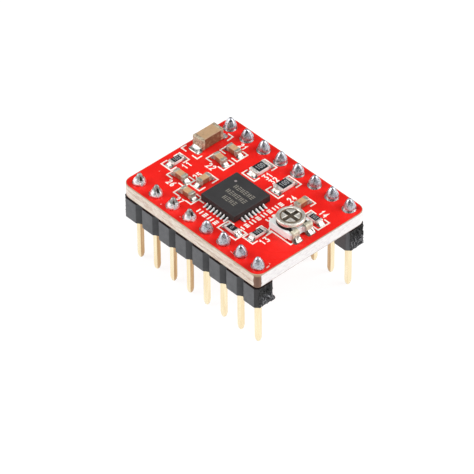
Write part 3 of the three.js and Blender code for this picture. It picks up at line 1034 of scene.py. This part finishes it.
def make_pins():
    """Pins with tapered tips, which lean a little below. A profile has half width, height, radius."""
    for row in ROWS:
        for i in range(PINS_PER_ROW):
            node = f"pin_{row}_{i + 1}"
            centre = centre_of(node)
            low = box_of(node)[0]
            length = BOARD_TOP + 0.7 - low.z
            rnd = random.Random(node)
            profile = [(0.13, 0.0, 0.08), (0.19, 0.05, 0.1), (0.235, 0.2, 0.1)]
            profile += [(0.275, 0.48, 0.09), (0.28, 0.6, 0.07), (0.28, 3.0, 0.07)]
            profile += [(0.28, length - 0.2, 0.07), (0.26, length - 0.08, 0.08), (0.16, length, 0.09)]
            lean = Vector((rnd.uniform(-0.03, 0.03), rnd.uniform(-0.02, 0.02)))
            rings = []
            for half, z, corner in profile:
                ring = rounded_outline(half, half, min(corner, half * 0.8), 3)
                sway = lean * max(0.0, (4.0 - z) / 4.0)
                rings.append([(x + sway.x, y + sway.y, low.z + z) for x, y in ring])
            bar = moved(skin(rings), (centre.x, centre.y, 0))
            faces = pin_faces(row, i + 1)
            piece(f"gold_{node}", [(bar, GOLD)], [node], sharp=60, split=faces)


make_pins()

# Radius and height above the board of a solder joint's skin: a full cone, and a starved one that
# is hollow around the pin's tip
FULL_JOINT = [
    (0.655, 0.0), (0.675, 0.04), (0.68, 0.11), (0.67, 0.22), (0.635, 0.36), (0.58, 0.51),
    (0.515, 0.66), (0.445, 0.8), (0.37, 0.93), (0.3, 1.04), (0.235, 1.12), (0.165, 1.19),
    (0.08, 1.23),
]
STARVED_JOINT = [
    (0.63, 0.0), (0.665, 0.04), (0.675, 0.12), (0.66, 0.24), (0.62, 0.36), (0.565, 0.48),
    (0.5, 0.59), (0.43, 0.69), (0.37, 0.8), (0.315, 0.91), (0.27, 1.03), (0.21, 1.15),
    (0.1, 1.23),
]
GROOVE_HALF = 0.3
# Heights of a starved joint's profile between which its groove carries painted shade, and from which it
# is dull
GROOVE_SHADE_FROM = 0.48
GROOVE_SHADE_TO = 0.91
DULL_FROM = 0.69


def make_joint(row, index):
    """One hand-soldered joint, which climbs the pin."""
    node = f"solder_{row}_{index}"
    pin_centre = centre_of(f"pin_{row}_{index}")
    rnd = random.Random(node)
    shift = Vector((rnd.uniform(-50, 50), rnd.uniform(-50, 50), rnd.uniform(-50, 50)))
    groove_at = rnd.uniform(-0.6, 0.0)
    starved = row == "near" and index <= 4
    profile = STARVED_JOINT if starved else FULL_JOINT
    groove = 0.24 if starved else 0.04
    lean = rnd.uniform(-0.06, 0.06), rnd.uniform(-0.06, 0.06)
    tall = rnd.uniform(0.98, 1.08) if row == "near" else rnd.uniform(0.93, 1.0)
    offset = Vector((0.16, -0.07, 0)) if row == "near" else Vector((-0.05, 0.12, 0))
    centre = pin_centre + offset
    steps = 36

    def from_groove(angle):
        return (angle - groove_at + math.pi) % (2 * math.pi) - math.pi

    rings = []
    for radius, height in profile:
        rise = height / profile[-1][1]
        ring = []
        for i in range(steps):
            angle = 2 * math.pi * i / steps
            around = Vector((math.cos(angle), math.sin(angle), rise * 1.4))
            lump = noise.fractal(around * 0.9 + shift, 0.9, 2.0, 3)
            bulge = 1 + (0.11 if starved else 0.08) * lump * math.sin(math.pi * min(1, rise + 0.15))
            dent = groove * math.exp(-((from_groove(angle) / GROOVE_HALF) ** 2))
            size = radius * bulge - dent * math.sin(math.pi * min(1, rise * 1.05)) ** 0.7
            x = centre.x + size * math.cos(angle) + lean[0] * rise
            y = centre.y + size * math.sin(angle) + lean[1] * rise
            ring.append((x, y, BOARD_TOP + height * tall))
        rings.append(ring)

    def starved_faces(look, face):
        """Dull solder around the tip and painted shade in the groove."""
        if not starved or look != BRIGHT_SOLDER:
            return None
        spot = face.calc_center_median()
        height = (spot.z - BOARD_TOP) / tall
        rise = height / profile[-1][1]
        x = spot.x - centre.x - lean[0] * rise
        y = spot.y - centre.y - lean[1] * rise
        column = math.floor(math.atan2(y, x) * steps / (2 * math.pi)) + 0.5
        angle = 2 * math.pi * column / steps
        if abs(from_groove(angle)) < GROOVE_HALF * 1.1 and GROOVE_SHADE_FROM < height < GROOVE_SHADE_TO:
            return SOLDER_GROOVE_SHADE
        return DULL_SOLDER if height > DULL_FROM else None

    ring_reach = 0.73 if row == "near" else 0.76
    low, high = BOARD_TOP - 0.02, BOARD_TOP + 0.012
    pad = ring_part(pin_centre.x, pin_centre.y, 0.5, ring_reach, low, high, 32)
    parts = [(skin(rings), BRIGHT_SOLDER if starved else SOLDER), (pad, SMALL_SOLDER)]
    piece(f"joint_{row}_{index}", parts, [node], sharp=70, split=starved_faces)


for side_row in ROWS:
    for pin_number in range(1, PINS_PER_ROW + 1):
        make_joint(side_row, pin_number)

# ---------------------------------------------------------------------------- solder fillets


def fillet(width, reach, climb, seed, across=12, along=8, plump=0.07):
    """Solder from a part's end at x = 0 down to its pad, which runs out to x = reach."""
    shift = Vector((seed * 7.31, seed * 3.17, seed * 1.93))
    rows = []
    for i in range(across + 1):
        u = 2 * i / across - 1
        row = []
        for j in range(along + 1):
            v = j / along
            edge = max(0.0, 1 - abs(u) ** 5)
            crown = climb * (1 - v) ** 2.1 * edge**0.6
            swell = plump * edge * max(0.0, 1 - v**3) ** 0.5
            lump = noise.noise(Vector((u * 1.6, v * 1.6, 0)) + shift)
            x = reach * v * (1 - 0.14 * abs(u) ** 6)
            y = u * width / 2 * (1 - 0.08 * v**4)
            row.append((x, y, 0.015 + crown + swell * (1 + 0.8 * lump)))
        rows.append(row)
    return height_field(rows, -0.01)


# ---------------------------------------------------------------------------- driver chip


CHIP_PADS_PER_SIDE = 7
CHIP_PAD_PITCH = 0.5


def shaded_sides(look, face):
    """Painted shade: the package's sides are darker than its top."""
    return EPOXY_SHADED_SIDES if abs(face.normal.z) < 0.5 else None


def make_chip_piece():
    low, high = box_of("driver_chip_moulding")
    size = high - low
    centre = (low + high) / 2
    body = block((size.x, size.y, size.z), 0.05, 3)
    top = high.z
    parts = [(moved(body, centre), EPOXY)]
    nodes = ["driver_chip_moulding"]
    piece("driver_chip_body", parts, nodes, split=shaded_sides)
    strokes = []
    for x, y, length in ((0.35, 0.85, 2.6), (0.2, -0.15, 2.5), (0.3, -1.1, 1.7)):
        spot = (centre.x + x, centre.y + y)
        strokes += bar_row(*spot, length, 0.58, 0, 0.09, top - 0.01, top + 0.004)
    piece("driver_chip_marking", layered(strokes, MARKING), sharp=50)
    dot = prism(arc(centre.x - 1.5, centre.y + 1.42, 0.15, 0, 345, 23), top - 0.01, top + 0.004)
    piece("driver_chip_dot", [(dot, DOT)], sharp=50)
    pads = []
    pad_gap_shades = []
    for quarter in range(4):
        for i in range(CHIP_PADS_PER_SIDE):
            pad = fillet(0.24, 0.62, 0.2, quarter * CHIP_PADS_PER_SIDE + i + 1, 8, 8, 0.04)
            along = (i - (CHIP_PADS_PER_SIDE - 1) / 2) * CHIP_PAD_PITCH
            spot = (size.x / 2, along, BOARD_TOP)
            pads.append((swung(pad, spot, centre, quarter * 90), PAD_TIN))
        # Painted shade: a dark strip along each side under the pads, where the package shades the
        # board.
        strip = block((0.5, 3.4, 0.03), 0.01, 1)
        spot = (size.x / 2 + 0.18, 0, BOARD_TOP - 0.003)
        pad_gap_shades.append((swung(strip, spot, centre, quarter * 90), PAD_GAP_SHADE))
    piece("driver_chip_pads", pads, sharp=60)
    piece("pad_gap_painted_shade", pad_gap_shades)


make_chip_piece()

# ---------------------------------------------------------------------------- chip parts


def chip_body(length, width, height, end, bevel):
    """A body along X with two plated ends, standing on z = 0."""
    middle = moved(block((length - end, width, height), bevel, 3), (0, 0, height / 2))
    ends = []
    for side in (-1, 1):
        cap = block((end, width + 0.04, height + 0.03), bevel * 1.3, 3)
        ends.append(moved(cap, (side * (length - end) / 2, 0, (height + 0.03) / 2 - 0.01)))
    return middle, ends


def end_solder(node, length, width, reach, climb, turn, seed):
    """Solder at both ends of a chip part."""
    drops = []
    for side in (0, 180):
        drop = fillet(width, reach, climb, seed + side / 180)
        spot = (length / 2 - 0.03, 0, BOARD_TOP)
        drops.append((swung(drop, spot, centre_of(node), turn + side), SMALL_SOLDER))
    piece(f"solder_{node}", drops, sharp=60)


# Turns in degrees
CAPACITOR_TURNS = {
    "bulk_capacitor": 90, "capacitor_1": 0, "capacitor_2": -5, "capacitor_3": 0,
    "capacitor_4": 90, "capacitor_5": 0, "capacitor_6": 90,
}
# The second colour of each ceramic is the painted shade of its sides.
CAP_TAN = make_ceramic("ceramic_tan", (0.6, 0.37, 0.2), (0.28, 0.085, 0.04), BOARD_TOP + 0.74)
BULK_TAN = make_ceramic("ceramic_bulk", (0.5, 0.32, 0.18), (0.19, 0.075, 0.032), BOARD_TOP + 1.48)
BULK_TIN = make_plating("bulk_tin", (0.54, 0.47, 0.34), 0.42, 0.3, (0.26, 0.15, 0.09))


def make_capacitors():
    for number, (node, turn) in enumerate(CAPACITOR_TURNS.items()):
        bulk = node == "bulk_capacitor"
        length, width, height, end = (3.05, 1.44, 1.4, 0.46) if bulk else (1.58, 0.72, 0.68, 0.4)
        centre = centre_of(node)
        spot = (centre.x, centre.y, BOARD_TOP + 0.05)
        middle, ends = chip_body(length, width, height, end, 0.07 if bulk else 0.05)
        parts = [(moved(middle, spot, turn), BULK_TAN if bulk else CAP_TAN)]
        parts += [(moved(cap, spot, turn), BULK_TIN if bulk else TIN) for cap in ends]
        piece(f"ceramic_{node}", parts, [node])
        reach, climb = (0.72, 0.32) if bulk else (0.44, 0.3)
        end_solder(node, length, width + 0.16, reach, climb, turn, number * 2 + 40)


make_capacitors()

# Turns in degrees, and numerals
RESISTORS = {
    "resistor_1": (90, "103"),
    "resistor_2": (0, "0"),
    "resistor_3": (90, "103"),
    "resistor_4": (0, "103"),
    "sense_resistor_1": (90, "100"),
    "sense_resistor_2": (90, "100"),
}


def make_resistors():
    for number, (node, (turn, text)) in enumerate(RESISTORS.items()):
        sense = node.startswith("sense")
        length, width, height, end = (2.0, 1.22, 0.5, 0.36) if sense else (1.6, 0.78, 0.42, 0.3)
        centre = centre_of(node)
        spot = (centre.x, centre.y, BOARD_TOP + 0.04)
        slab = block((length - end, width, height - 0.06), 0.03, 2)
        moved(slab, (0, 0, (height - 0.06) / 2))
        glass = block((length - 1.5 * end, width - 0.08, 0.1), 0.035, 3)
        moved(glass, (0, 0, height - 0.06))
        parts = [(moved(slab, spot, turn), ALUMINA), (moved(glass, spot, turn), RESISTOR_GLASS)]
        for side in (-1, 1):
            cap = block((end, width + 0.02, height), 0.05, 3)
            moved(cap, (side * (length - end) / 2, 0, height / 2))
            parts.append((moved(cap, spot, turn), RESISTOR_TIN))
        piece(f"chip_{node}", parts, [node])
        face = BOARD_TOP + 0.04 + height - 0.01
        tall = 0.6 if sense else 0.42
        slim = 0.55 if len(text) > 1 else 0.75
        thick = 0.075 if sense else 0.06
        strokes = number_strokes(
            text, centre.x, centre.y, tall, turn, thick, face - 0.02, face + 0.004, slim
        )
        numeral = [(stroke, NUMERAL) for stroke in strokes]
        piece(f"numeral_{node}", numeral, sharp=50)
        end_solder(node, length, width + 0.14, 0.46, height * 0.6, turn, number * 2 + 70)


make_resistors()

# ---------------------------------------------------------------------------- trimmer


def make_trimmer_base():
    low, high = box_of("trimmer_substrate")
    size = high - low
    centre = (low + high) / 2
    notch = 0.22
    half_x = size.x / 2
    half_y = size.y / 2
    outline = [(half_x, -0.4), (half_x - notch, -0.32), (half_x - notch, 0.32), (half_x, 0.4)]
    outline += rounded_outline(half_x, half_y, 0.2, 4)
    base = prism(outline, low.z, high.z, 0.05, 3)
    parts = [(moved(base, (centre.x, centre.y, 0)), SUBSTRATE)]
    obj = piece("trimmer_base", parts, ["trimmer_substrate"])
    bore = prism(arc(centre.x, centre.y, 0.5, 0, 345, 23), low.z - 1, high.z + 1)
    cut(obj, piece("bore", [(bore, SUBSTRATE)], rides=False))
    foot_low = BOARD_TOP + 0.03
    depth = low.z + 0.06 - foot_low
    feet = []
    for side in (-1, 1):
        foot = block((2.5, 0.5, depth), 0.02, 2)
        spot = (centre.x - 0.25, centre.y + side * (half_y - 0.27), foot_low + depth / 2)
        feet.append((moved(foot, spot), SUBSTRATE))
    piece("trimmer_feet", feet)


ROTOR_GROOVE = (0.98, 1.14)


def make_rotor():
    """A stamped cap: rolled rim, dished face, cross slot with a raised lip, and its shaft."""
    low, high = box_of("trimmer_rotor")
    centre = (low + high) / 2
    top = high.z
    steps = 96
    # Radii and depths below the top, from the cap's underside over its rim to its middle
    drops = [
        (1.26, 0.34), (1.32, 0.44), (1.47, 0.45), (1.52, 0.38), (1.53, 0.18), (1.51, 0.09),
        (1.43, 0.035), (1.36, 0.012), (1.28, 0.02), (1.22, 0.05), (1.16, 0.06), (1.12, 0.1),
        (1.07, 0.12), (1.03, 0.1), (0.99, 0.05), (0.9, 0.04), (0.6, 0.045), (0.3, 0.05),
        (0.08, 0.05),
    ]
    profile = [(0.44, low.z), (0.44, top - 0.34)] + [(radius, top - drop) for radius, drop in drops]
    rings = []
    for radius, z in profile:
        ring = []
        for i in range(steps):
            angle = 2 * math.pi * i / steps
            around = Vector((math.cos(angle) * 2, math.sin(angle) * 2, radius * 3))
            reach = radius + 0.012 * noise.noise(around)
            x = centre.x + reach * math.cos(angle)
            ring.append((x, centre.y + reach * math.sin(angle), z))
        rings.append(ring)

    def grooved(look, face):
        """Painted shade in the ring-shaped groove inside the rim."""
        middle = face.calc_center_median()
        away = math.hypot(middle.x - centre.x, middle.y - centre.y)
        in_groove = ROTOR_GROOVE[0] < away < ROTOR_GROOVE[1]
        return ROTOR_GROOVE_SHADE if in_groove and face.normal.z > 0.3 else None

    cap = [(skin(rings), ROTOR_METAL)]
    disc = piece("rotor_cap", cap, ["trimmer_rotor"], ROTOR, split=grooved)
    # The slot's cut faces take the cutter's material: painted shade in the recess.
    for turn in (0, 90):
        arm = moved(block((2.02, 0.44, 0.8), 0.06, 3), (centre.x, centre.y, top + 0.08))
        if turn:
            spin = Matrix.Rotation(math.radians(turn), 3, "Z")
            bmesh.ops.rotate(arm, cent=(centre.x, centre.y, 0), matrix=spin, verts=arm.verts)
        cut(disc, piece("arm", [(arm, ROTOR_SLOT_SHADE)], rides=False))
    # The raised lip is painted bright as a highlight.
    lip = []
    for start in (0, 90, 180, 270):
        path = []
        for along, across in ((0.86, 0.32), (0.42, 0.32), (0.32, 0.42), (0.32, 0.86)):
            flat = Matrix.Rotation(math.radians(start), 2) @ Vector((along, across))
            path.append((centre.x + flat.x, centre.y + flat.y))
        lip.append((ribbon(path, 0.13, top - 0.09, top - 0.012), ROTOR_LIP_HIGHLIGHT))
    piece("rotor_lips", lip, (), ROTOR, sharp=50)


def make_film():
    """The printed resistive ring, open towards +X, with a lead under each end terminal. Its black out
    to the cap's rim also stands in for the shade under the cap.
    """
    low, high = box_of("trimmer_track")
    centre = centre_of("trimmer_substrate")
    outline = arc(0, 0, 1.5, 40, 320, 56) + arc(0, 0, 0.95, 320, 40, 56)
    ring = prism(outline, low.z, high.z, 0.01, 1)
    parts = [(moved(ring, (centre.x, centre.y, 0)), FILM)]
    for side in (-1, 1):
        lead = block((0.5, 0.42, 0.024), 0.01, 1)
        spot = (centre.x + 1.18, centre.y + side * 1.02, low.z + 0.008)
        parts.append((moved(lead, spot), FILM))
    piece("trimmer_film", parts, ["trimmer_track"])


def make_terminal(node, turn):
    """A clip over the substrate's edge, with a foot in solder."""
    low, high = box_of(node)
    centre = (low + high) / 2
    base_low, base_high = box_of("trimmer_substrate")
    edge = base_high.x + 0.02 if turn == 0 else base_low.x - 0.02
    side = 1 if turn == 0 else -1
    width = high.y - low.y
    tall = high.z - low.z
    # The clip's section: distance out from the substrate's edge, and height
    profile = [
        (0.4, 0.0), (0.44, 0.03), (0.44, 0.09), (0.4, 0.12), (0.24, 0.12), (0.16, 0.2),
        (0.14, tall - 0.2), (0.1, tall - 0.07), (0.0, tall), (-0.34, tall),
        (-0.38, tall - 0.05), (-0.36, tall - 0.12), (0.0, tall - 0.12), (0.0, 0.12),
        (-0.48, 0.12), (-0.5, 0.0),
    ]
    rings = []
    for y in (-width / 2, -width / 2 + 0.04, width / 2 - 0.04, width / 2):
        rings.append([(edge + side * x, centre.y + y, low.z + z) for x, z in profile])
    clip = skin(rings)
    piece(f"clip_{node}", [(clip, TERMINAL_METAL)], [node], sharp=40)
    drop = fillet(width + 0.24, 0.56, 0.42, centre.y + 20 + side, plump=0.2)
    drop = swung(drop, (0.09, 0, BOARD_TOP), Vector((edge, centre.y)), turn)
    piece(f"solder_{node}", [(drop, SMALL_SOLDER)], sharp=60)


make_trimmer_base()
make_film()
make_rotor()
make_terminal("trimmer_terminal_1", 0)
make_terminal("trimmer_terminal_2", 0)
make_terminal("trimmer_terminal_3", 180)

for cad_node, look in (
    ("trimmer_wiper", ROTOR_METAL),
    ("driver_chip_die_pad", COPPER),
    ("driver_chip_die", SILICON),
):
    mesh_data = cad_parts[cad_node].data
    mesh_data.materials.clear()
    mesh_data.materials.append(look)

# ---------------------------------------------------------------------------- camera and light


CAMERA_PLACE = Vector((234.348, -216.658, 284.102))
CAMERA_AIM = Vector((-0.55343116, 0.50934283, -0.65900215))
CAMERA_ROLL = -0.4527
CAMERA_LENS = 312.91


def make_camera():
    """A long lens above the near corner of the +X end. Its roll is in degrees."""
    data = bpy.data.cameras.new("camera")
    data.lens = CAMERA_LENS
    data.sensor_width = 36.0
    data.clip_start = 0.01
    data.clip_end = 5.0
    camera = bpy.data.objects.new("camera", data)
    bpy.context.scene.collection.objects.link(camera)
    forward = CAMERA_AIM.normalized()
    right = forward.cross(Vector((0, 0, 1))).normalized()
    up = right.cross(forward)
    roll = math.radians(CAMERA_ROLL)
    tilted_right = right * math.cos(roll) + up * math.sin(roll)
    tilted_up = tilted_right.cross(forward)
    turned = Matrix((tilted_right, tilted_up, -forward)).transposed().to_4x4()
    camera.matrix_world = Matrix.Translation(CAMERA_PLACE * MM) @ turned
    bpy.context.scene.camera = camera


def area_light(name, position, target, size, power):
    """A round light, placed and sized in millimetres, that faces its target."""
    data = bpy.data.lights.new(name, "AREA")
    data.shape = "DISK"
    data.size = size * MM
    data.energy = power
    light = bpy.data.objects.new(name, data)
    light.location = Vector(position) * MM
    aim = Vector(target) * MM - light.location
    light.rotation_mode = "QUATERNION"
    light.rotation_quaternion = aim.to_track_quat("-Z", "Y")
    bpy.context.scene.collection.objects.link(light)


def make_world():
    """A grey sky, pale from its horizon down."""
    world = bpy.data.worlds.new("studio")
    world.use_nodes = True
    way = add_node(world, "TexCoord", {}).outputs["Generated"]
    height = add_node(world, "SeparateXYZ", {"Vector": way}).outputs["Z"]
    sky = ramp(world, height, [(0.06, (0.9, 0.9, 0.9)), (0.32, (0.14, 0.14, 0.145))])
    connect(world, world.node_tree.nodes["Background"], {"Color": sky, "Strength": 1.0})
    bpy.context.scene.world = world


def make_floor():
    """A pale light table, large enough to fill every view."""
    part = bmesh.new()
    corners = [(-3000, -3000), (3000, -3000), (3000, 3000), (-3000, 3000)]
    part.faces.new([part.verts.new((x, y, -0.05)) for x, y in corners])
    made = material("floor", (0.15, 0.15, 0.15), 0.9)
    glow = {"Emission Color": (1.0, 1.0, 0.995, 1.0), "Emission Strength": 0.92}
    connect(made, shader_of(made), {"Specular IOR Level": 0.0, **glow})
    floor = piece("floor", [(part, made)], rides=False)


make_camera()
make_world()
make_floor()
area_light("right_softbox", (235, 235, 250), (0, 0, 8), 330, 1.5)
area_light("left_softbox", (-235, -235, 225), (0, 0, 8), 330, 1.15)
area_light("overhead", (-40, 40, 380), (0, 0, 10), 160, 0.25)
bpy.context.scene.view_settings.view_transform = "Standard"
